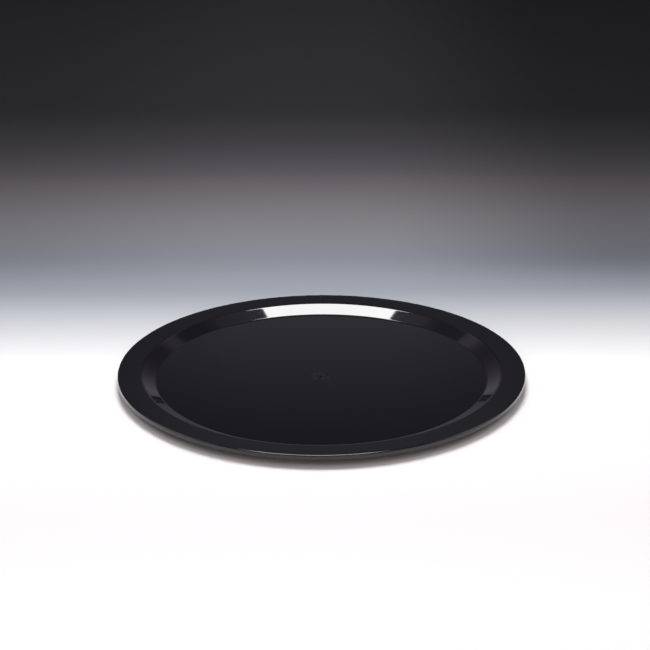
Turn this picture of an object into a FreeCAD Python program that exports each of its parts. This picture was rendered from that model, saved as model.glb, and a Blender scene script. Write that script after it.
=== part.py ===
"""Round serving tray, moulded in one piece.

A flat well floor, a sloped wall, a wide rim that rises a little outwards and an edge lip that turns
down. The tray stands on a ring under its floor, so that fingers can pass below the lip. The marks
that moulding leaves are here too: the gate at the centre and the ejector pins' prints underneath.

Frame: millimetres, +Z up, origin on the table at the tray's axis.
"""

import FreeCAD, Part

import math
import os

import Sketcher

# name, value in millimetres or a count, and what it is
SIZES = [
    ("tray_diameter", 406.4, "across the outside of the rim"),
    ("overall_height", 12.5, "table to the rim's outer edge, before it is rounded"),
    ("well_mouth_diameter", 358.0, "where the rim meets the wall"),
    ("well_floor_diameter", 331.0, "where the wall meets the floor"),
    ("well_depth", 7.4, "well mouth to well floor"),
    ("rim_rise", 0.5, "how much higher the rim's outer edge is than the well mouth"),
    ("wall_thickness", 2.2, "floor, wall and rim alike"),
    ("underside_shift", 0.55, "how far the underside's corners lie outside those above them"),
    ("lip_height", 4.8, "rim's outer edge to the lip's tip"),
    ("lip_root_thickness", 1.9, "at the rim's underside"),
    ("lip_tip_thickness", 1.5, "at the tip"),
    ("lip_draft", 0.1, "how far the lip's outer face leans in, from edge to tip"),
    ("edge_round", 1.1, "radius of the rim's outer edge"),
    ("lip_tip_round", 0.5, "radius of both corners of the lip's tip"),
    ("lip_root_round", 0.8, "radius inside the lip, under the rim"),
    ("well_mouth_round", 5.0, "radius from rim to wall"),
    ("well_floor_round", 3.0, "radius from wall to floor"),
    ("foot_diameter", 312.0, "centre line of the foot ring"),
    ("foot_tip_width", 2.4, "flat face that rests on the table"),
    ("foot_root_width", 3.4, "where the ring leaves the floor"),
    ("foot_tip_round", 0.4, "radius of the ring's corners"),
    ("foot_root_round", 0.6, "radius between the ring and the floor"),
    ("gate_dish_diameter", 14.0, "shallow dish round the gate, under the floor"),
    ("gate_dish_depth", 0.6, "depth of that dish"),
    ("gate_dish_slope", 0.9, "width of the dish's sloping side"),
    ("gate_stub_diameter", 2.6, "what is left of the sprue, in the dish"),
    ("gate_stub_height", 0.4, "height of that stub above the dish"),
    ("gate_witness_diameter", 6.0, "faint raised disc on the floor, opposite the gate"),
    ("gate_witness_height", 0.15, "height of that disc"),
    ("gate_witness_slope", 0.6, "width of its sloping edge"),
    ("pin_circle_diameter", 250.0, "circle that the ejector pins' prints stand on"),
    ("pin_diameter", 9.0, "one print"),
    ("pin_depth", 0.2, "depth of a print"),
    ("pin_count", 8, "prints on the circle"),
]

# heights and radii that several features share, worked out from the sheet
WELL_MOUTH = "(sizes.overall_height - sizes.rim_rise)"
FLOOR_TOP = f"({WELL_MOUTH} - sizes.well_depth)"
FLOOR_UNDER = f"({FLOOR_TOP} - sizes.wall_thickness)"
FLOOR_MIDDLE = f"({FLOOR_TOP} - sizes.wall_thickness / 2)"
UNDER_MOUTH = f"({WELL_MOUTH} - sizes.wall_thickness)"
UNDER_EDGE = "(sizes.overall_height - sizes.wall_thickness)"
LIP_TIP = "(sizes.overall_height - sizes.lip_height)"
RIM = "(sizes.tray_diameter / 2)"
MOUTH = "(sizes.well_mouth_diameter / 2)"
FLOOR = "(sizes.well_floor_diameter / 2)"
LIP_INSIDE = f"({RIM} - sizes.lip_root_thickness)"
FOOT = "(sizes.foot_diameter / 2)"

TOUCHING = 1e-6  # millimetres: how near two places are when they are the same one

doc = FreeCAD.newDocument("serving_tray")


def make_sheet():
    """The driving dimensions, one named cell each."""
    sheet = doc.addObject("Spreadsheet::Sheet", "sizes")
    for row, (name, value, meaning) in enumerate(SIZES, start=1):
        sheet.set(f"A{row}", meaning)
        sheet.set(f"B{row}", str(value))
        sheet.setAlias(f"B{row}", name)
    doc.recompute()
    return sheet


sheet = make_sheet()


def number(expression):
    """What an expression on the sheet comes to."""
    return float(sheet.evalExpression(expression.replace("sizes.", "")))


def origin_plane(body, role):
    """One of the body's own origin planes or axes."""
    return next(item for item in body.Origin.OriginFeatures if item.Role == role)


def new_sketch(body, name, role):
    """An empty sketch on one of the body's origin planes."""
    sketch = body.newObject("Sketcher::SketchObject", name)
    sketch.AttachmentSupport = [(origin_plane(body, role), "")]
    sketch.MapMode = "FlatFace"
    return sketch


def draw_outline(sketch, corners):
    """A closed outline of straight lines, drawn anticlockwise, with some of its corners rounded.

    Each corner is expressions for its radius and height, and for a rounded one its arc's size. A
    construction point holds the corner's place, and the lines run through it or end at it.
    """
    count = len(corners)
    at = [FreeCAD.Vector(number(corner[0]), number(corner[1]), 0) for corner in corners]
    along = [(at[(i + 1) % count] - at[i]).normalize() for i in range(count)]
    turn = [signed_angle(along[i - 1], along[i]) for i in range(count)]
    arc = [number(corner[2]) if len(corner) > 2 else 0 for corner in corners]
    back = [arc[i] * math.tan(abs(turn[i]) / 2) for i in range(count)]

    for i in range(count):  # lines have the indices 0 to count - 1
        start = at[i] + along[i] * back[i]
        end = at[(i + 1) % count] - along[i] * back[(i + 1) % count]
        sketch.addGeometry(Part.LineSegment(start, end), False)
    for i, corner in enumerate(corners):
        point = sketch.addGeometry(Part.Point(at[i]), True)
        hold(sketch, "DistanceX", point, at[i].x, corner[0])
        hold(sketch, "DistanceY", point, at[i].y, corner[1])
        before = (i - 1) % count
        if not arc[i]:
            sketch.addConstraint(Sketcher.Constraint("Coincident", before, 2, point, 1))
            sketch.addConstraint(Sketcher.Constraint("Coincident", i, 1, point, 1))
            continue
        start, end = at[i] - along[before] * back[i], at[i] + along[i] * back[i]
        left = FreeCAD.Vector(-along[before].y, along[before].x, 0)
        centre = start + left * math.copysign(arc[i], turn[i])
        round_corner(sketch, (before, i), point, (start, end), centre, arc[i], turn[i] > 0)
        size = sketch.addConstraint(Sketcher.Constraint("Radius", sketch.GeometryCount - 1, arc[i]))
        sketch.setExpression(f"Constraints[{size}]", corner[2])


def signed_angle(first, second):
    """The turn from one direction to the next, positive to the left."""
    return math.atan2(first.x * second.y - first.y * second.x, first.dot(second))


def round_corner(sketch, lines, point, ends, centre, radius, left):
    """An arc between two lines, tangent to both, whose corner stays at the point."""
    angles = [math.atan2(end.y - centre.y, end.x - centre.x) for end in ends]
    if not left:  # an arc runs anticlockwise, so one that turns right starts on the second line
        angles.reverse()
    circle = Part.Circle(centre, FreeCAD.Vector(0, 0, 1), radius)
    arc = sketch.addGeometry(Part.ArcOfCircle(circle, *angles), False)
    first_end, second_end = (1, 2) if left else (2, 1)
    sketch.addConstraint(Sketcher.Constraint("Tangent", lines[0], 2, arc, first_end))
    sketch.addConstraint(Sketcher.Constraint("Tangent", lines[1], 1, arc, second_end))
    for line in lines:
        sketch.addConstraint(Sketcher.Constraint("PointOnObject", point, 1, line))


def hold(sketch, kind, point, value, expression):
    """Keeps a point at a distance from the sketch's origin, bound to the sheet."""
    index = sketch.addConstraint(Sketcher.Constraint(kind, -1, 1, point, 1, value))
    sketch.setExpression(f"Constraints[{index}]", expression)


def turned(body, kind, name, corners):
    """A Revolution or Groove: an outline drawn on the XZ plane, turned once round the axis."""
    sketch = new_sketch(body, f"{name}_section", "XZ_Plane")
    draw_outline(sketch, corners)
    feature = body.newObject(f"PartDesign::{kind}", name)
    feature.Profile = sketch
    feature.ReferenceAxis = (sketch, ["V_Axis"])
    feature.Angle = 360
    sketch.Visibility = False
    doc.recompute()
    return feature


def circles_at(feature, places):
    """Names of the feature's circular edges at these pairs of radius and height."""
    wanted = [(number(radius), number(height)) for radius, height in places]
    names = []
    for i, edge in enumerate(feature.Shape.Edges, start=1):
        if not isinstance(edge.Curve, Part.Circle):
            continue
        radius, height = edge.Curve.Radius, edge.Curve.Center.z
        if any(abs(radius - r) < TOUCHING and abs(height - z) < TOUCHING for r, z in wanted):
            names.append(f"Edge{i}")
    if len(names) != len(places):
        raise RuntimeError(f"{feature.Name}: {len(names)} of {len(places)} edges found")
    return names


def rounded(body, name, base, size, places):
    """A Fillet of one named radius on circular edges of the feature before it."""
    fillet = body.newObject("PartDesign::Fillet", name)
    fillet.Base = (base, circles_at(base, places))
    fillet.setExpression("Radius", size)
    doc.recompute()
    return fillet


def make_shell(body):
    """Floor, wall, rim and lip, of one thickness throughout, with every corner rounded."""
    tip_outside = f"{RIM} - sizes.lip_draft"
    tip_inside = f"{tip_outside} - sizes.lip_tip_thickness"
    # a bend's outer radius is its inner radius and the wall's thickness
    under_floor_round = "sizes.well_floor_round + sizes.wall_thickness"
    under_mouth_round = "sizes.well_mouth_round - sizes.wall_thickness"
    corners = [
        ("0", FLOOR_UNDER),
        (f"{FLOOR} + sizes.underside_shift", FLOOR_UNDER, under_floor_round),
        (f"{MOUTH} + sizes.underside_shift", UNDER_MOUTH, under_mouth_round),
        (LIP_INSIDE, UNDER_EDGE, "sizes.lip_root_round"),
        (tip_inside, LIP_TIP, "sizes.lip_tip_round"),
        (tip_outside, LIP_TIP, "sizes.lip_tip_round"),
        (RIM, "sizes.overall_height", "sizes.edge_round"),
        (MOUTH, WELL_MOUTH, "sizes.well_mouth_round"),
        (FLOOR, FLOOR_TOP, "sizes.well_floor_round"),
        ("0", FLOOR_TOP),
    ]
    return turned(body, "Revolution", "shell", corners)


def make_foot(body):
    """The ring that the tray stands on, narrower at its tip so that it leaves the mould."""
    inner_tip = f"{FOOT} - sizes.foot_tip_width / 2"
    outer_tip = f"{FOOT} + sizes.foot_tip_width / 2"
    inner_root = f"{FOOT} - sizes.foot_root_width / 2"
    outer_root = f"{FOOT} + sizes.foot_root_width / 2"
    corners = [
        (inner_tip, "0"),
        (outer_tip, "0"),
        (outer_root, FLOOR_UNDER),
        (outer_root, FLOOR_MIDDLE),
        (inner_root, FLOOR_MIDDLE),
        (inner_root, FLOOR_UNDER),
    ]
    foot = turned(body, "Revolution", "foot", corners)
    tips = [(inner_tip, "0"), (outer_tip, "0")]
    roots = [(inner_root, FLOOR_UNDER), (outer_root, FLOOR_UNDER)]
    foot = rounded(body, "foot_tip_round", foot, "sizes.foot_tip_round", tips)
    return rounded(body, "foot_root_round", foot, "sizes.foot_root_round", roots)


def make_gate(body):
    """The dish and stub under the floor where the plastic came in, and their witness above it."""
    dish = "(sizes.gate_dish_diameter / 2)"
    dish_top = f"({FLOOR_UNDER} + sizes.gate_dish_depth)"
    dish_corners = [
        ("0", FLOOR_UNDER),
        (dish, FLOOR_UNDER),
        (f"{dish} - sizes.gate_dish_slope", dish_top),
        ("0", dish_top),
    ]
    turned(body, "Groove", "gate_dish", dish_corners)

    stub = "sizes.gate_stub_diameter / 2"
    stub_tip = f"{dish_top} - sizes.gate_stub_height"
    stub_corners = [("0", stub_tip), (stub, stub_tip), (stub, FLOOR_MIDDLE), ("0", FLOOR_MIDDLE)]
    turned(body, "Revolution", "gate_stub", stub_corners)

    witness = "(sizes.gate_witness_diameter / 2)"
    witness_top = f"{FLOOR_TOP} + sizes.gate_witness_height"
    witness_corners = [
        ("0", FLOOR_MIDDLE),
        (witness, FLOOR_MIDDLE),
        (witness, FLOOR_TOP),
        (f"{witness} - sizes.gate_witness_slope", witness_top),
        ("0", witness_top),
    ]
    return turned(body, "Revolution", "gate_witness", witness_corners)


def make_pin_prints(body):
    """A circle of shallow round prints under the floor, where the ejector pins pushed."""
    sketch = new_sketch(body, "pin_print_circle", "XY_Plane")
    across = "sizes.pin_circle_diameter / 2"
    radius = "sizes.pin_diameter / 2"
    centre = FreeCAD.Vector(number(across), 0, 0)
    up = FreeCAD.Vector(0, 0, 1)
    sketch.addGeometry(Part.Circle(centre, up, number(radius)), False)
    sketch.addConstraint(Sketcher.Constraint("PointOnObject", 0, 3, -1))
    away = sketch.addConstraint(Sketcher.Constraint("DistanceX", -1, 1, 0, 3, centre.x))
    size = sketch.addConstraint(Sketcher.Constraint("Radius", 0, number(radius)))
    sketch.setExpression(f"Constraints[{away}]", across)
    sketch.setExpression(f"Constraints[{size}]", radius)

    before = body.Shape.Volume
    prints = body.newObject("PartDesign::Pocket", "pin_print")
    prints.Profile = sketch
    prints.Reversed = True  # upwards, into the floor
    prints.setExpression("Length", f"{FLOOR_UNDER} + sizes.pin_depth")
    sketch.Visibility = False
    doc.recompute()

    circle = body.newObject("PartDesign::PolarPattern", "pin_prints")
    circle.Originals = [prints]
    circle.Axis = (sketch, ["N_Axis"])
    circle.Angle = 360
    circle.setExpression("Occurrences", "sizes.pin_count")
    body.Tip = circle
    doc.recompute()

    one_print = number(f"pi * ({radius})^2 * sizes.pin_depth")
    cut = before - body.Shape.Volume
    if abs(cut - one_print * number("sizes.pin_count")) > one_print / 2:
        raise RuntimeError(f"the pins' prints take away {cut:.1f} cubic millimetres")


def make_tray():
    """The whole tray, one moulding."""
    body = doc.addObject("PartDesign::Body", "tray_body")
    body.Label = "tray"
    make_shell(body)
    make_foot(body)
    make_gate(body)
    make_pin_prints(body)
    return body


def check(subparts):
    """Stops the build if a feature has failed or a solid isn't sound."""
    for item in doc.Objects:
        if "Invalid" in item.State or "Error" in item.State:
            raise RuntimeError(f"{item.Name} failed: {item.State}")
    for item in subparts:
        shape = item.Shape
        if shape.isNull() or not shape.isValid() or len(shape.Solids) != 1:
            raise RuntimeError(f"{item.Label} isn't one sound solid")


def report(subparts):
    """Prints each solid's extent and volume."""
    for item in subparts:
        box = item.Shape.optimalBoundingBox(False, False)
        print(f"{item.Label}: {box.XLength:.2f} x {box.YLength:.2f} x {box.ZLength:.2f} mm,")
        print(f"  from z {box.ZMin:.3f} to {box.ZMax:.3f}, {item.Shape.Volume / 1000:.1f} cc")


subparts = [make_tray()]
doc.recompute()
check(subparts)
report(subparts)
os.makedirs("parts", exist_ok=True)
for item in subparts:
    item.Shape.exportStep(f"parts/{item.Label}.step")
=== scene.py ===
"""Round serving tray: the moulded tray, its black plastic and a plain studio to show it in."""

import math

import bmesh
import bpy
from mathutils import Matrix, Vector


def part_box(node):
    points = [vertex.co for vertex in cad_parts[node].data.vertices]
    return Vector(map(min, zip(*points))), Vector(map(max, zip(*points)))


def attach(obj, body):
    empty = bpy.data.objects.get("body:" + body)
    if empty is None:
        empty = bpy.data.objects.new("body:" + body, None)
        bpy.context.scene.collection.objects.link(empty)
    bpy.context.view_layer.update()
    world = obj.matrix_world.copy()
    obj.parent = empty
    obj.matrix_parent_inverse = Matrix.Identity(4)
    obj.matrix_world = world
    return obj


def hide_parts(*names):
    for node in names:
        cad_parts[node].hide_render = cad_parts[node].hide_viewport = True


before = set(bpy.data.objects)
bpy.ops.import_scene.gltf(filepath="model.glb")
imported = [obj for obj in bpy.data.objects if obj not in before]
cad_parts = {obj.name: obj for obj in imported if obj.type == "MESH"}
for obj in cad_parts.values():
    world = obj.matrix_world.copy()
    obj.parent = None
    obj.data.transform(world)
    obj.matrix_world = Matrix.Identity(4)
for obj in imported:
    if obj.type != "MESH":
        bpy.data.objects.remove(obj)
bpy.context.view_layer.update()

bl_info = {
    "name": "Round serving tray",
    "version": (1, 0, 0),
    "blender": (4, 5, 0),
    "location": "3D View > Sidebar > Tray",
    "description": "Models a one-piece moulded serving tray, its finishes and a small studio",
    "category": "Object",
}

TRAY_LOW, TRAY_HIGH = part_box("tray")
TRAY_RADIUS = (TRAY_HIGH.x - TRAY_LOW.x) / 2
TRAY_HEIGHT = TRAY_HIGH.z - TRAY_LOW.z
MM = 0.001
ROUNDED_OFF = 0.02  # millimetres that the rim's rounding takes off its radius and height
CORNER_RADIUS = TRAY_RADIUS / MM + ROUNDED_OFF
CORNER_HEIGHT = TRAY_HEIGHT / MM + ROUNDED_OFF


# --- what a user would change -------------------------------------------------------------------


def length(name, description, millimetres):
    """A property that holds a length, given in millimetres and kept in metres."""
    value = millimetres * MM
    settings = {"name": name, "description": description, "unit": "LENGTH", "precision": 5}
    return bpy.props.FloatProperty(default=value, min=0.0, **settings)


def distance(name, description, millimetres):
    """A property that holds a distance of either sign, given in millimetres."""
    settings = {"name": name, "description": description, "unit": "LENGTH", "precision": 5}
    return bpy.props.FloatProperty(default=millimetres * MM, **settings)


def angle(name, description, degrees):
    """A property that holds an angle, given in degrees and kept in radians."""
    settings = {"name": name, "description": description, "subtype": "ANGLE"}
    return bpy.props.FloatProperty(default=math.radians(degrees), **settings)


def amount(name, description, default, high=1.0):
    """A property that holds a plain number from nothing up."""
    settings = {"name": name, "description": description, "precision": 4}
    return bpy.props.FloatProperty(default=default, min=0.0, max=high, **settings)


def colour(name, description, default):
    """A property that holds a linear colour."""
    settings = {"name": name, "description": description, "subtype": "COLOR", "size": 3}
    return bpy.props.FloatVectorProperty(default=default, min=0.0, max=1.0, **settings)


def count(name, description, default):
    """A property that holds a whole number."""
    return bpy.props.IntProperty(name=name, description=description, default=default, min=3)


class TraySizes(bpy.types.PropertyGroup):
    """Sizes of the moulding. The rim's radius and the height are the frame's own."""

    rim_radius: length("Rim radius", "Axis to the rim's corner, unrounded", CORNER_RADIUS)
    height: length("Height", "Table to the rim's corner, unrounded", CORNER_HEIGHT)
    rim_rise: length("Rim rise", "Rim's outer edge above the well mouth", 0.5)
    mouth_radius: length("Well mouth radius", "Axis to where rim and wall meet", 179.0)
    floor_radius: length("Well floor radius", "Axis to where wall and floor meet", 165.5)
    well_depth: length("Well depth", "Well mouth to well floor", 7.4)
    wall: length("Wall thickness", "Thickness of floor, wall and rim", 2.2)
    corner_shift: length("Underside shift", "Underside corners beyond the top ones", 0.55)
    lip_height: length("Lip height", "Rim's edge to the lip's tip", 4.8)
    lip_root: length("Lip root", "Thickness of the lip under the rim", 1.9)
    lip_tip: length("Lip tip", "Thickness of the lip at its tip", 1.5)
    lip_draft: length("Lip draft", "How far the lip's face leans in", 0.1)
    foot_radius: length("Foot radius", "Axis to the middle of the foot ring", 156.0)
    foot_tip: length("Foot tip", "Width of the ring's flat face", 2.4)
    foot_root: length("Foot root", "Width of the ring where it leaves the floor", 3.4)
    dish_radius: length("Gate dish radius", "Dish round the gate, underneath", 7.0)
    dish_depth: length("Gate dish depth", "Depth of that dish", 0.6)
    dish_slope: length("Gate dish slope", "Width of the dish's side", 0.9)
    stub_radius: length("Gate stub radius", "What is left of the sprue", 1.3)
    stub_height: length("Gate stub height", "Height of the stub in its dish", 0.4)
    witness_radius: length("Witness radius", "Faint disc on the well floor", 3.0)
    witness_height: length("Witness height", "Height of that disc", 0.15)
    witness_slope: length("Witness slope", "Width of the disc's edge", 0.6)
    print_circle: length("Print circle", "Axis to the ejector pins' prints", 125.0)
    print_radius: length("Print radius", "Radius of one print", 4.5)
    print_depth: length("Print depth", "Depth of one print", 0.2)
    print_count: count("Prints", "Ejector pins' prints underneath", 8)
    around: count("Steps around", "Faces round the tray", 480)


class TrayFinish(bpy.types.PropertyGroup):
    """How the plastic looks."""

    black: colour("Black", "Colour of the plastic", (0.0034, 0.0031, 0.0036))
    gloss: amount("Gloss roughness", "Roughness of the polished side", 0.04)
    satin: amount("Satin roughness", "Roughness of the underside", 0.42)
    refraction: amount("Refraction", "Refractive index of the plastic", 1.59, high=3.0)
    swell: length("Swell", "Height of the slow unevenness of a moulded face", 0.016)
    hairline: length("Hairline depth", "Depth of a rubbing mark", 0.0006)
    grain: length("Grain", "Height of the underside's spark-eroded grain", 0.012)


class Studio(bpy.types.PropertyGroup):
    """Camera, lights and floor."""

    camera_distance: length("Camera distance", "Camera to the middle of the rim", 2287.5)
    camera_side: length("Camera side step", "Camera to the right of the axis", 3.75)
    camera_elevation: angle("Camera elevation", "How high the camera stands", 23.12)
    camera_pitch: angle("Camera pitch", "How far down the camera looks", 22.03)
    camera_roll: angle("Camera roll", "Turn about the line of sight", -0.26)
    camera_lens: amount("Lens", "Focal length in millimetres", 126.8, high=500.0)
    key_height: length("Key height", "Table to the overhead softbox", 1800.0)
    key_width: length("Key width", "Softbox, from left to right", 840.0)
    key_depth: length("Key depth", "Softbox, from front to back", 900.0)
    key_side: distance("Key side step", "Softbox to the right of the axis", -53.0)
    key_back: distance("Key set-back", "Softbox behind the axis", 630.0)
    key_power: amount("Key power", "Watts of the softbox", 36.8, high=10000.0)
    side_reach: length("Side reach", "Axis to each side light", 1250.0)
    side_height: length("Side height", "Table to the middle of a side light", 1150.0)
    side_size: length("Side size", "Side of each square side light", 900.0)
    side_power: amount("Side power", "Watts of each side light", 4.0, high=10000.0)
    fill_reach: length("Fill reach", "Tray to the warm fill card in front", 3000.0)
    fill_width: length("Fill width", "Width of that card", 5000.0)
    fill_power: amount("Fill power", "Watts of that card", 56.0, high=10000.0)
    fill_tint: colour("Fill colour", "Colour of that card's light", (1.0, 0.86, 0.79))
    floor_size: length("Floor size", "Side of the floor sheet", 16000.0)


# --- outlines -----------------------------------------------------------------------------------

EIGHTHS = 8
GUARD = 0.35 * MM  # a narrow band beside each arc keeps the flat next to it shaded flat
MERGE = 0.002 * MM


def corner(radius, height, rounding=0.0, steps=0):
    """A corner of the outline: its place in the XZ plane, its rounding and the arc's steps."""
    return Vector((radius, 0.0, height)), rounding, steps


def line_to(bm, tip, target):
    """One edge from the wire's tip to a point, and the new tip."""
    new = bmesh.ops.extrude_vert_indiv(bm, verts=[tip])["verts"][0]
    bmesh.ops.translate(bm, verts=[new], vec=target - tip.co)
    return new


def run_to(bm, tip, target):
    """A straight run with a guard band at each end, where it is long enough for them."""
    start = tip.co.copy()
    span = target - start
    if span.length > 4 * GUARD:
        along = span.normalized() * GUARD
        tip = line_to(bm, tip, start + along)
        tip = line_to(bm, tip, target - along)
    return line_to(bm, tip, target)


def draw_wire(bm, corners):
    """A wire of straight runs and true arcs through the corners, in the XZ plane."""
    places = [place for place, _, _ in corners]
    tip = bm.verts.new(places[0])
    for i in range(1, len(corners) - 1):
        place, rounding, steps = corners[i]
        before = (place - places[i - 1]).normalized()
        after = (places[i + 1] - place).normalized()
        turn = math.atan2(before.x * after.z - before.z * after.x, before.dot(after))
        if not rounding:
            tip = run_to(bm, tip, place)
            continue
        back = rounding * math.tan(abs(turn) / 2)
        tip = run_to(bm, tip, place - before * back)
        left = Vector((-before.z, 0.0, before.x))
        centre = tip.co + left * math.copysign(rounding, turn)
        arc = bmesh.ops.spin(
            bm,
            geom=[tip],
            cent=centre,
            axis=(0.0, -1.0, 0.0),
            angle=turn,
            steps=steps,
            use_duplicate=False,
        )
        tip = next(item for item in arc["geom_last"] if isinstance(item, bmesh.types.BMVert))
    run_to(bm, tip, places[-1])


def turn_outline(bm, corners, around, material):
    """Turns an outline round the tray's axis: one eighth by steps, then seven copies of it."""
    old_verts, old_edges, old_faces = set(bm.verts), set(bm.edges), set(bm.faces)
    draw_wire(bm, corners)
    wire = [item for item in bm.verts if item not in old_verts]
    wire += [item for item in bm.edges if item not in old_edges]
    axis = {"cent": (0.0, 0.0, 0.0), "axis": (0.0, 0.0, 1.0)}
    eighth = math.tau / EIGHTHS
    bmesh.ops.spin(bm, geom=wire, angle=eighth, steps=around // EIGHTHS, **axis)
    faces = [face for face in bm.faces if face not in old_faces]
    for face in faces:
        face.material_index = material
    wedge = {vert for face in faces for vert in face.verts}
    wedge |= {edge for face in faces for edge in face.edges}
    turn, copies = math.tau - eighth, EIGHTHS - 1
    geom = [*wedge, *faces]
    bmesh.ops.spin(bm, geom=geom, angle=turn, steps=copies, use_duplicate=True, **axis)
    bmesh.ops.remove_doubles(bm, verts=bm.verts, dist=MERGE)


# --- the tray -----------------------------------------------------------------------------------

POLISHED, SATIN = 0, 1  # material indices of the two sides of the moulding
PRINT_MARGIN = 2.5 * MM  # flat band kept clear on each side of the ejector prints
PRINT_STEPS = 40
SHARP = math.radians(35)  # an edge that turns more than this isn't shaded smooth


class Section:
    """Heights and radii that several outlines share, worked out from the sizes."""

    def __init__(self, sizes):
        self.mouth_top = sizes.height - sizes.rim_rise
        self.floor_top = self.mouth_top - sizes.well_depth
        self.floor_under = self.floor_top - sizes.wall
        self.mouth_under = self.mouth_top - sizes.wall
        self.rim_under = sizes.height - sizes.wall
        self.lip_end = sizes.height - sizes.lip_height
        self.lip_inside = sizes.rim_radius - sizes.lip_root
        self.tip_outside = sizes.rim_radius - sizes.lip_draft
        self.tip_inside = self.tip_outside - sizes.lip_tip
        self.tip_middle = (self.tip_outside + self.tip_inside) / 2
        self.band_inside = sizes.print_circle - sizes.print_radius - PRINT_MARGIN
        self.band_outside = sizes.print_circle + sizes.print_radius + PRINT_MARGIN


def polished_outline(sizes, at):
    """From the lip's tip over the rim and down the wall to the middle of the well floor."""
    witness_top = at.floor_top + sizes.witness_height
    return [
        corner(at.tip_middle, at.lip_end),
        corner(at.tip_outside, at.lip_end, 0.5 * MM, 6),
        corner(sizes.rim_radius, sizes.height, 1.1 * MM, 14),
        corner(sizes.mouth_radius, at.mouth_top, 5.0 * MM, 12),
        corner(sizes.floor_radius, at.floor_top, 3.0 * MM, 10),
        corner(sizes.witness_radius, at.floor_top, 0.4 * MM, 3),
        corner(sizes.witness_radius - sizes.witness_slope, witness_top, 0.4 * MM, 3),
        corner(0.0, witness_top),
    ]


def gate_outline(sizes, at):
    """The gate's stub and dish under the floor, out to the band of prints."""
    dish_top = at.floor_under + sizes.dish_depth
    stub_end = dish_top - sizes.stub_height
    return [
        corner(0.0, stub_end),
        corner(sizes.stub_radius, stub_end, 0.12 * MM, 3),
        corner(sizes.stub_radius, dish_top, 0.12 * MM, 3),
        corner(sizes.dish_radius - sizes.dish_slope, dish_top, 0.5 * MM, 4),
        corner(sizes.dish_radius, at.floor_under, 0.5 * MM, 4),
        corner(at.band_inside, at.floor_under),
    ]


def underside_outline(sizes, at):
    """From the band of prints over the foot ring, up the wall and round inside the lip."""
    half_tip, half_root = sizes.foot_tip / 2, sizes.foot_root / 2
    return [
        corner(at.band_outside, at.floor_under),
        corner(sizes.foot_radius - half_root, at.floor_under, 0.6 * MM, 5),
        corner(sizes.foot_radius - half_tip, 0.0, 0.4 * MM, 4),
        corner(sizes.foot_radius + half_tip, 0.0, 0.4 * MM, 4),
        corner(sizes.foot_radius + half_root, at.floor_under, 0.6 * MM, 5),
        corner(sizes.floor_radius + sizes.corner_shift, at.floor_under, 5.2 * MM, 8),
        corner(sizes.mouth_radius + sizes.corner_shift, at.mouth_under, 2.8 * MM, 8),
        corner(at.lip_inside, at.rim_under, 0.8 * MM, 6),
        corner(at.tip_inside, at.lip_end, 0.5 * MM, 6),
        corner(at.tip_middle, at.lip_end),
    ]


def ring_edges(bm, radius, height):
    """The boundary edges that lie on one circle round the axis."""
    found = []
    for edge in bm.edges:
        if edge.is_boundary and all(on_ring(vert.co, radius, height) for vert in edge.verts):
            found.append(edge)
    return found


def on_ring(place, radius, height):
    """Whether a point lies on a circle round the axis."""
    near = 0.01 * MM
    return abs(place.to_2d().length - radius) < near and abs(place.z - height) < near


def fill_print_band(bm, sizes, at):
    """Fills the flat band under the floor, with a shallow round print for each ejector pin."""
    height = at.floor_under
    edges = ring_edges(bm, at.band_inside, height) + ring_edges(bm, at.band_outside, height)
    old_faces = set(bm.faces)
    prints = []
    for i in range(sizes.print_count):
        around = Matrix.Rotation(math.tau * i / sizes.print_count, 4, "Z")
        place = around @ Matrix.Translation((sizes.print_circle, 0.0, height))
        circle = bmesh.ops.create_circle(
            bm, segments=PRINT_STEPS, radius=sizes.print_radius, matrix=place
        )
        rim = {edge for vert in circle["verts"] for edge in vert.link_edges}
        prints.append(list(rim))
        edges += rim
    bmesh.ops.triangle_fill(bm, use_beauty=True, edges=edges, normal=(0.0, 0.0, -1.0))
    for rim in prints:
        wall = bmesh.ops.extrude_edge_only(bm, edges=rim)["geom"]
        top = [item for item in wall if isinstance(item, bmesh.types.BMVert)]
        bmesh.ops.translate(bm, verts=top, vec=(0.0, 0.0, sizes.print_depth))
        bmesh.ops.contextual_create(bm, geom=top_edges(wall, top))
    for face in bm.faces:
        if face not in old_faces:
            face.material_index = SATIN


def top_edges(items, verts):
    """Of these items, the edges whose two ends are both among the vertices."""
    ends = set(verts)
    edges = [item for item in items if isinstance(item, bmesh.types.BMEdge)]
    return [edge for edge in edges if ends.issuperset(edge.verts)]


def make_tray_mesh(sizes):
    """The whole moulding as one closed mesh."""
    at = Section(sizes)
    bm = bmesh.new()
    turn_outline(bm, gate_outline(sizes, at), sizes.around, SATIN)
    turn_outline(bm, underside_outline(sizes, at), sizes.around, SATIN)
    fill_print_band(bm, sizes, at)
    turn_outline(bm, polished_outline(sizes, at), sizes.around, POLISHED)
    bmesh.ops.recalc_face_normals(bm, faces=bm.faces)
    for face in bm.faces:
        face.smooth = True
    for edge in bm.edges:
        if edge.calc_face_angle(0.0) > SHARP:
            edge.smooth = False
    open_edges = sum(not edge.is_manifold for edge in bm.edges)
    if open_edges:
        raise RuntimeError(f"the tray's mesh isn't closed: {open_edges} open edges")
    mesh = bpy.data.meshes.new("tray_moulding")
    bm.to_mesh(mesh)
    bm.free()
    return mesh


# --- shader maths -------------------------------------------------------------------------------


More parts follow.
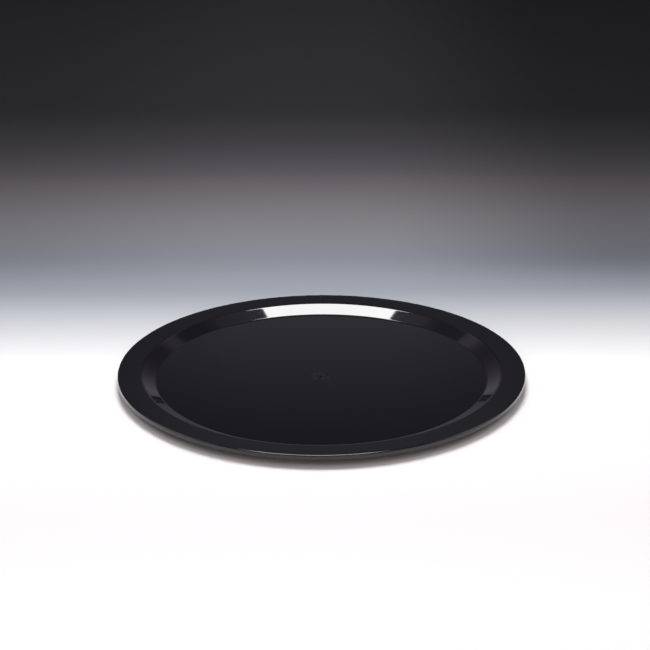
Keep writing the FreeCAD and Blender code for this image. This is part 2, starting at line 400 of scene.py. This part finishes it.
class Value:
    """A shader socket in Python arithmetic. Each step adds a Math node."""

    def __init__(self, shader, socket):
        self.shader = shader
        self.socket = socket

    def math(self, operation, *others):
        """A Math node fed by this value and up to two more."""
        inputs = dict(enumerate([self, *others]))
        return self.shader.add("ShaderNodeMath", {"operation": operation}, inputs)

    def __add__(self, other):
        return self.math("ADD", other)

    def __sub__(self, other):
        return self.math("SUBTRACT", other)

    def __rsub__(self, other):
        return self.math("MULTIPLY_ADD", -1.0, other)

    def __mul__(self, other):
        return self.math("MULTIPLY", other)

    __radd__ = __add__
    __rmul__ = __mul__

    def smooth_step(self, low, high):
        """0 below the first value, 1 above the second, and a smooth rise between them."""
        settings = {"interpolation_type": "SMOOTHSTEP", "clamp": True}
        inputs = {"Value": self, "From Min": low, "From Max": high}
        return self.shader.add("ShaderNodeMapRange", settings, inputs)


class Shader:
    """Adds nodes to a material's or a world's tree."""

    def __init__(self, owner):
        owner.use_nodes = True
        self.tree = owner.node_tree
        self.tree.nodes.clear()

    def add(self, kind, settings=None, inputs=None, output=0):
        """One node: its settings first, then its sockets' values or links. Returns an output."""
        node = self.tree.nodes.new(kind)
        for name, value in (settings or {}).items():
            if name == "stops":
                set_stops(node.color_ramp, value)
            else:
                setattr(node, name, value)
        for name, value in (inputs or {}).items():
            if isinstance(value, Value):
                self.tree.links.new(value.socket, node.inputs[name])
            else:
                node.inputs[name].default_value = value
        return Value(self, node.outputs[output]) if len(node.outputs) else None

    def position(self):
        """The point's place on the tray: x, y and z, in metres."""
        place = self.add("ShaderNodeTexCoord", output="Object")
        return [self.add("ShaderNodeSeparateXYZ", None, {0: place}, axis) for axis in "XYZ"]

    def vector(self, x, y, z):
        """Three numbers or values as one vector."""
        return self.add("ShaderNodeCombineXYZ", None, {"X": x, "Y": y, "Z": z})

    def noise(self, place, scale, detail=2.0, roughness=0.5):
        """Soft noise from 0 to 1, about 0.5."""
        inputs = {"Vector": place, "Scale": scale, "Detail": detail, "Roughness": roughness}
        return self.add("ShaderNodeTexNoise", None, inputs)

    def mix_colour(self, factor, first, second):
        """A colour between two."""
        settings = {"data_type": "RGBA", "clamp_factor": True}
        inputs = {0: factor, 6: first, 7: second}
        return self.add("ShaderNodeMix", settings, inputs, 2)

    def bump(self, height):
        """A normal from a height in metres."""
        return self.add("ShaderNodeBump", None, {"Height": height, "Distance": 1.0})


def set_stops(ramp, stops):
    """A ramp's stops: pairs of place and linear colour, in order."""
    while len(ramp.elements) > 1:
        ramp.elements.remove(ramp.elements[-1])
    for i, (place, tint) in enumerate(stops):
        element = ramp.elements[0] if i == 0 else ramp.elements.new(place)
        element.position = place
        element.color = (*tint, 1.0)


# --- finishes -----------------------------------------------------------------------------------

FLOW_REACH = 0.045  # metres from the gate within which the plastic's flow shows
BLUSH_REACH = 0.016  # metres from the gate within which its colour is uneven
PALE_SPECKS, DARK_SPECKS = (0.52, 0.66), (0.34, 0.48)  # where the noise turns into specks
HAIRLINE_TURNS = (0.35, 1.3, 2.25, 2.9)  # radians: the ways that stacked trays have rubbed
HAIRLINES_ALONG, HAIRLINES_ACROSS = 14.0, 1100.0  # noise cells in a metre
HAIRLINES_APART = 10.0  # how far apart the directions' noise is taken
HAIRLINE_EDGES = (0.79, 0.86)  # the noise's peaks between these are the lines

# noise cells in a metre
SWELL_CELLS = 16.0
HAZE_CELLS = 22.0
CLOUD_CELLS = 30.0
SPECK_CELLS = 260.0
PEBBLE_CELLS = 420.0
GRAIN_CELLS = 1800.0
FLOW_AROUND, FLOW_OUTWARD = 5.0, 60.0  # cells in a radian, and in a metre

# heights, as shares of the swell or of the grain
PEBBLE_SHARE = 0.006
FLOW_SHARE = 0.35
RING_SHARE = 0.05

RING_PITCH = 0.9 * MM  # between the turning rings of the mould's unpolished half

# what each adds to the roughness, and what a scuff takes off it
HAZE_ROUGH, MARKS_ROUGH, FLOW_ROUGH = 0.02, 0.05, 0.25
CLOUD_ROUGH, GRAIN_ROUGH, SCUFF_SHINE = 0.16, 0.1, 0.12


def hairlines(shader, x, y):
    """Fine straight rubbing marks in a few directions, 0 for none and 1 at their middles."""
    marks = 0.0
    for turn in HAIRLINE_TURNS:
        along = x * math.cos(turn) + y * math.sin(turn)
        across = y * math.cos(turn) - x * math.sin(turn)
        lengthwise, crosswise = along * HAIRLINES_ALONG, across * HAIRLINES_ACROSS
        place = shader.vector(lengthwise, crosswise, turn * HAIRLINES_APART)
        marks = shader.noise(place, 1.0, 0.0).smooth_step(*HAIRLINE_EDGES) + marks
    return marks


def flow_marks(shader, x, y, radius):
    """Streaks that run out from the gate and fade, about 0."""
    around = y.math("ARCTAN2", x)
    place = shader.vector(around * FLOW_AROUND, radius * FLOW_OUTWARD, 0.0)
    streaks = shader.noise(place, 1.0, 3.0) - 0.5
    near = 1.0 - radius.smooth_step(FLOW_REACH * 0.15, FLOW_REACH)
    return streaks * near


def gate_blush(shader, place, radius, tint, black):
    """Pale and dark specks where the plastic came in, over the rest of the colour."""
    near = 1.0 - radius.smooth_step(BLUSH_REACH * 0.2, BLUSH_REACH)
    specks = shader.noise(place, SPECK_CELLS, 1.0)
    pale = specks.smooth_step(*PALE_SPECKS) * near
    dark = (1.0 - specks.smooth_step(*DARK_SPECKS)) * near
    tint = shader.mix_colour(pale, tint, (*(black * 5.0), 1.0))
    return shader.mix_colour(dark, tint, BLACK)


def make_polished_plastic(finish):
    """Black plastic from a polished mould: near-mirror gloss, slow swells, faint marks."""
    material = bpy.data.materials.new("black_polished_plastic")
    shader = Shader(material)
    x, y, z = shader.position()
    radius = (x * x + y * y).math("SQRT")
    place = shader.vector(x, y, z)
    marks = hairlines(shader, x, y)
    flow = flow_marks(shader, x, y, radius)
    haze = shader.noise(place, HAZE_CELLS, 4.0, 0.6)
    swell = shader.noise(place, SWELL_CELLS, 1.0)
    pebble = shader.noise(place, PEBBLE_CELLS, 2.0)

    black = Vector(finish.black)
    tint = shader.mix_colour(haze, (*(black * 0.82), 1.0), (*(black * 1.2), 1.0))
    tint = gate_blush(shader, place, radius, tint, black)
    rough = finish.gloss + (haze - 0.5) * HAZE_ROUGH + marks * MARKS_ROUGH
    rough = rough + flow.math("ABSOLUTE") * FLOW_ROUGH
    height = (swell - 0.5) * finish.swell + (pebble - 0.5) * (finish.swell * PEBBLE_SHARE)
    height = height + flow * (finish.swell * FLOW_SHARE) - marks * finish.hairline
    inputs = {
        "Base Color": tint,
        "Roughness": rough,
        "IOR": finish.refraction,
        "Normal": shader.bump(height),
    }
    surface = shader.add("ShaderNodeBsdfPrincipled", None, inputs)
    shader.add("ShaderNodeOutputMaterial", None, {"Surface": surface})
    return material


def make_satin_plastic(finish):
    """The same plastic from the mould's unpolished half: satin, with grain and turning rings."""
    material = bpy.data.materials.new("black_satin_plastic")
    shader = Shader(material)
    x, y, z = shader.position()
    radius = (x * x + y * y).math("SQRT")
    place = shader.vector(x, y, z)
    grain = shader.noise(place, GRAIN_CELLS, 3.0, 0.6)
    cloud = shader.noise(place, CLOUD_CELLS, 4.0, 0.6)
    rings = (radius * (math.tau / RING_PITCH)).math("SINE")
    scuffs = hairlines(shader, x, y)

    black = Vector(finish.black) * 1.6
    tint = shader.mix_colour(cloud, (*(black * 0.8), 1.0), (*(black * 1.3), 1.0))
    rough = finish.satin + (cloud - 0.5) * CLOUD_ROUGH + (grain - 0.5) * GRAIN_ROUGH
    rough = rough - scuffs * SCUFF_SHINE
    height = (grain - 0.5) * finish.grain + rings * (finish.grain * RING_SHARE)
    inputs = {
        "Base Color": tint,
        "Roughness": rough,
        "IOR": finish.refraction,
        "Normal": shader.bump(height),
    }
    surface = shader.add("ShaderNodeBsdfPrincipled", None, inputs)
    shader.add("ShaderNodeOutputMaterial", None, {"Surface": surface})
    return material


class TRAY_OT_moulding(bpy.types.Operator):
    """Models the tray, floor, wall, rim, lip and foot ring in one, and gives it its finishes"""

    bl_idname = "tray.moulding"
    bl_label = "Add tray moulding"

    def execute(self, context):
        scene = context.scene
        mesh = make_tray_mesh(scene.tray_sizes)
        mesh.materials.append(make_polished_plastic(scene.tray_finish))
        mesh.materials.append(make_satin_plastic(scene.tray_finish))
        tray = bpy.data.objects.new("tray_moulding", mesh)
        scene.collection.objects.link(tray)
        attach(tray, "root")
        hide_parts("tray")
        return {"FINISHED"}


# --- the studio ---------------------------------------------------------------------------------

# distance behind the tray's axis, in metres, and the floor sheet's colour there: painted shade,
# darker further back, standing in for the light falling off behind the tray
FLOOR_PAINTED_SHADE_STOPS = [
    (0.03, (0.8, 0.8, 0.8)),
    (0.066, (0.6876, 0.7069, 0.7033)),
    (0.098, (0.6071, 0.6127, 0.6264)),
    (0.131, (0.5183, 0.533, 0.5394)),
    (0.165, (0.4284, 0.445, 0.4665)),
    (0.2, (0.3344, 0.355, 0.3866)),
    (0.236, (0.2602, 0.2805, 0.3127)),
    (0.254, (0.2362, 0.2556, 0.2884)),
    (0.273, (0.2257, 0.2453, 0.2803)),
    (0.311, (0.1954, 0.2122, 0.2449)),
    (0.343, (0.1745, 0.1863, 0.2115)),
    (0.376, (0.1609, 0.1718, 0.1953)),
    (0.41, (0.1567, 0.1625, 0.1741)),
    (0.444, (0.1484, 0.149, 0.1599)),
    (0.48, (0.1411, 0.1387, 0.1498)),
    (0.516, (0.1264, 0.1242, 0.1295)),
    (0.554, (0.1129, 0.1087, 0.1144)),
    (0.592, (0.09907, 0.09139, 0.09816)),
    (0.631, (0.08266, 0.07576, 0.08187)),
    (0.671, (0.06207, 0.06044, 0.06436)),
    (0.712, (0.05121, 0.04978, 0.05323)),
    (0.755, (0.04149, 0.04036, 0.04331)),
    (0.798, (0.03407, 0.03312, 0.03572)),
    (0.843, (0.02926, 0.02857, 0.03097)),
    (0.889, (0.02414, 0.0236, 0.0257)),
    (0.941, (0.02027, 0.01998, 0.02196)),
]
# sine of the angle above the table, and the colour of the room's light there, in the middle
ROOM_MIDDLE = [
    (0.00, (0.25, 0.245, 0.29)),
    (0.30, (0.21, 0.20, 0.225)),
    (0.36, (0.175, 0.166, 0.188)),
    (0.375, (0.146, 0.140, 0.170)),
    (0.395, (0.094, 0.090, 0.115)),
    (0.415, (0.056, 0.053, 0.077)),
    (0.43, (0.040, 0.038, 0.056)),
    (0.50, (0.070, 0.067, 0.085)),
    (0.60, (0.140, 0.135, 0.155)),
    (1.00, (0.34, 0.335, 0.35)),
]
# the same to the sides
ROOM_SIDES = [
    (0.00, (0.25, 0.24, 0.28)),
    (0.08, (0.243, 0.236, 0.28)),
    (0.14, (0.222, 0.211, 0.252)),
    (0.21, (0.178, 0.168, 0.207)),
    (0.28, (0.135, 0.126, 0.162)),
    (0.34, (0.110, 0.103, 0.139)),
    (0.40, (0.097, 0.090, 0.126)),
    (0.47, (0.088, 0.082, 0.119)),
    (0.53, (0.110, 0.103, 0.147)),
    (0.565, (0.19, 0.18, 0.23)),
    (0.60, (0.31, 0.29, 0.36)),
    (0.645, (0.31, 0.29, 0.36)),
    (0.67, (0.12, 0.113, 0.16)),
    (0.72, (0.102, 0.096, 0.14)),
    (0.78, (0.109, 0.105, 0.15)),
    (0.815, (0.18, 0.178, 0.21)),
    (0.835, (0.29, 0.27, 0.32)),
    (0.90, (0.33, 0.31, 0.37)),
    (1.00, (0.34, 0.32, 0.37)),
]
BLACK = (0.0, 0.0, 0.0, 1.0)

# where the floor sheet's painted light and painted shade change, in metres from the tray's axis
# painted light: the sheet is paler well in front of the tray, standing in for more light falling
# there
FLOOR_FRONT_PAINTED_LIGHT = (0.92, 0.93, 0.925, 1.0)  # its colour well in front of the tray
FRONT_REACH = (0.26, 0.55)
# painted shade: the sheet darkens to the right and to the left behind the tray, where less light
# falls
RIGHT_REACH, RIGHT_PAINTED_SHADE = (0.04, 0.36), 0.42
LEFT_REACH, LEFT_PAINTED_SHADE = (0.04, 0.45), 0.24
SIDE_SHADE_BEHIND = (0.2, 0.36)

# where the room changes, as the sine of the angle to the side, and by how much it dims
FLANKS, FLANK_DIMMING = (0.02, 0.11), 0.45
SIDES_BEGIN = (0.12, 0.19)
RIGHT_SIDE, RIGHT_DIMMING = (0.18, 0.38), 0.28

SIDE_BACK = 0.3  # metres that the side lights stand behind the tray's axis
SIDE_LEAN = math.radians(47)
FILL_ELEVATION = math.radians(35)
FILL_SHAPE = 0.8  # the fill card's height over its width


def make_floor(studio):
    """A sheet that is pale round the tray, with painted shade that runs it off into grey behind it
    and darkens it to each side, and painted light that makes it paler in front.
    """
    bm = bmesh.new()
    bmesh.ops.create_grid(bm, x_segments=2, y_segments=2, size=studio.floor_size / 2)
    mesh = bpy.data.meshes.new("floor_sheet")
    bm.to_mesh(mesh)
    bm.free()
    material = bpy.data.materials.new("floor_sheet")
    shader = Shader(material)
    side, behind, _ = shader.position()
    # painted shade: the floor's colour darkens behind the tray, where the light falls off
    graded = shader.add("ShaderNodeValToRGB", {"stops": FLOOR_PAINTED_SHADE_STOPS}, {0: behind})
    # painted shade to the right and to the left, behind the tray
    right = side.smooth_step(*RIGHT_REACH) * RIGHT_PAINTED_SHADE
    left = (0.0 - side).smooth_step(*LEFT_REACH) * LEFT_PAINTED_SHADE
    fade = (right + left) * behind.smooth_step(*SIDE_SHADE_BEHIND)
    graded = shader.mix_colour(fade, graded, BLACK)
    # painted light: paler well in front of the tray
    tint = shader.mix_colour((0.0 - behind).smooth_step(*FRONT_REACH), graded, FLOOR_FRONT_PAINTED_LIGHT)
    inputs = {"Base Color": tint, "Roughness": 1.0, "Specular IOR Level": 0.0}
    surface = shader.add("ShaderNodeBsdfPrincipled", None, inputs)
    shader.add("ShaderNodeOutputMaterial", None, {"Surface": surface})
    mesh.materials.append(material)
    floor = bpy.data.objects.new("floor_sheet", mesh)
    bpy.context.scene.collection.objects.link(floor)


def make_room():
    """The room's own light: graded by height, and a little darker off to each side."""
    world = bpy.data.worlds.new("studio_room")
    shader = Shader(world)
    towards = shader.add("ShaderNodeTexCoord", output="Generated")
    x, z = [shader.add("ShaderNodeSeparateXYZ", None, {0: towards}, axis) for axis in "XZ"]
    middle, sides = [
        shader.add("ShaderNodeValToRGB", {"stops": stops}, {0: z})
        for stops in (ROOM_MIDDLE, ROOM_SIDES)
    ]
    aside = x.math("ABSOLUTE")
    middle = shader.mix_colour(aside.smooth_step(*FLANKS) * FLANK_DIMMING, middle, BLACK)
    sides = shader.mix_colour(x.smooth_step(*RIGHT_SIDE) * RIGHT_DIMMING, sides, BLACK)
    tint = shader.mix_colour(aside.smooth_step(*SIDES_BEGIN), middle, sides)
    light = shader.add("ShaderNodeBackground", None, {"Color": tint, "Strength": 1.0})
    shader.add("ShaderNodeOutputWorld", None, {"Surface": light})
    bpy.context.scene.world = world


def make_softbox(name, place, width, depth, power, lean=(0.0, 0.0, 0.0)):
    """A rectangular light that faces down before it leans."""
    light = bpy.data.lights.new(name, "AREA")
    light.shape = "RECTANGLE"
    light.size, light.size_y = width, depth
    light.energy = power
    holder = bpy.data.objects.new(name, light)
    holder.location = place
    holder.rotation_euler = lean
    holder.visible_camera = False
    bpy.context.scene.collection.objects.link(holder)
    return holder


def make_fill(studio):
    """A big warm card in front that lifts the shadow and isn't mirrored in the gloss."""
    elevation, reach = FILL_ELEVATION, studio.fill_reach
    place = (0.0, -reach * math.cos(elevation), reach * math.sin(elevation))
    lean = (math.pi / 2 - elevation, 0.0, 0.0)
    width, depth = studio.fill_width, studio.fill_width * FILL_SHAPE
    fill = make_softbox("front_fill", place, width, depth, studio.fill_power, lean)
    fill.data.color = studio.fill_tint
    fill.visible_glossy = False


def make_camera(studio, sizes):
    """A long lens a little above the table, aimed just short of the tray's middle."""
    lens = bpy.data.cameras.new("studio_camera")
    lens.lens = studio.camera_lens
    lens.clip_start, lens.clip_end = 0.05, 50.0
    camera = bpy.data.objects.new("studio_camera", lens)
    reach = studio.camera_distance
    back, up = reach * math.cos(studio.camera_elevation), reach * math.sin(studio.camera_elevation)
    place = Matrix.Translation((studio.camera_side, -back, sizes.height + up))
    pitch = Matrix.Rotation(math.pi / 2 - studio.camera_pitch, 4, "X")
    roll = Matrix.Rotation(studio.camera_roll, 4, "Z")
    camera.matrix_world = place @ pitch @ roll
    bpy.context.scene.collection.objects.link(camera)
    bpy.context.scene.camera = camera


class TRAY_OT_studio(bpy.types.Operator):
    """Sets up the floor sheet, the room's light, the softboxes, the fill card and the camera"""

    bl_idname = "tray.studio"
    bl_label = "Add studio"

    def execute(self, context):
        studio = context.scene.tray_studio
        make_floor(studio)
        make_room()
        over = (studio.key_side, studio.key_back, studio.key_height)
        make_softbox("key_softbox", over, studio.key_width, studio.key_depth, studio.key_power)
        side, power = studio.side_size, studio.side_power
        for name, way in (("left_softbox", -1), ("right_softbox", 1)):
            place = (way * studio.side_reach, SIDE_BACK, studio.side_height)
            make_softbox(name, place, side, side, power, (0.0, way * SIDE_LEAN, 0.0))
        make_fill(studio)
        make_camera(studio, context.scene.tray_sizes)
        context.scene.view_settings.view_transform = "Standard"
        return {"FINISHED"}


class TRAY_PT_panel(bpy.types.Panel):
    """Lists the tray's steps and what can be changed about them"""

    bl_idname = "TRAY_PT_panel"
    bl_label = "Serving tray"
    bl_space_type = "VIEW_3D"
    bl_region_type = "UI"
    bl_category = "Tray"

    def draw(self, context):
        for step, group in STEPS:
            box = self.layout.box()
            box.operator(step.bl_idname)
            for name in group:
                settings = getattr(context.scene, name)
                for item in settings.bl_rna.properties:
                    if item.identifier not in {"rna_type", "name"}:
                        box.prop(settings, item.identifier)


STEPS = [(TRAY_OT_moulding, ["tray_sizes", "tray_finish"]), (TRAY_OT_studio, ["tray_studio"])]
GROUPS = {"tray_sizes": TraySizes, "tray_finish": TrayFinish, "tray_studio": Studio}
CLASSES = [*GROUPS.values(), TRAY_OT_moulding, TRAY_OT_studio, TRAY_PT_panel]


def register():
    """Makes the classes known and hangs the settings on the scene."""
    for item in CLASSES:
        bpy.utils.register_class(item)
    for name, group in GROUPS.items():
        setattr(bpy.types.Scene, name, bpy.props.PointerProperty(type=group))


def unregister():
    """Takes all of it away again."""
    for name in GROUPS:
        delattr(bpy.types.Scene, name)
    for item in reversed(CLASSES):
        bpy.utils.unregister_class(item)


def main():
    """Builds the tray and the studio."""
    register()
    bpy.ops.tray.moulding()
    bpy.ops.tray.studio()


if __name__ == "__main__":
    main()
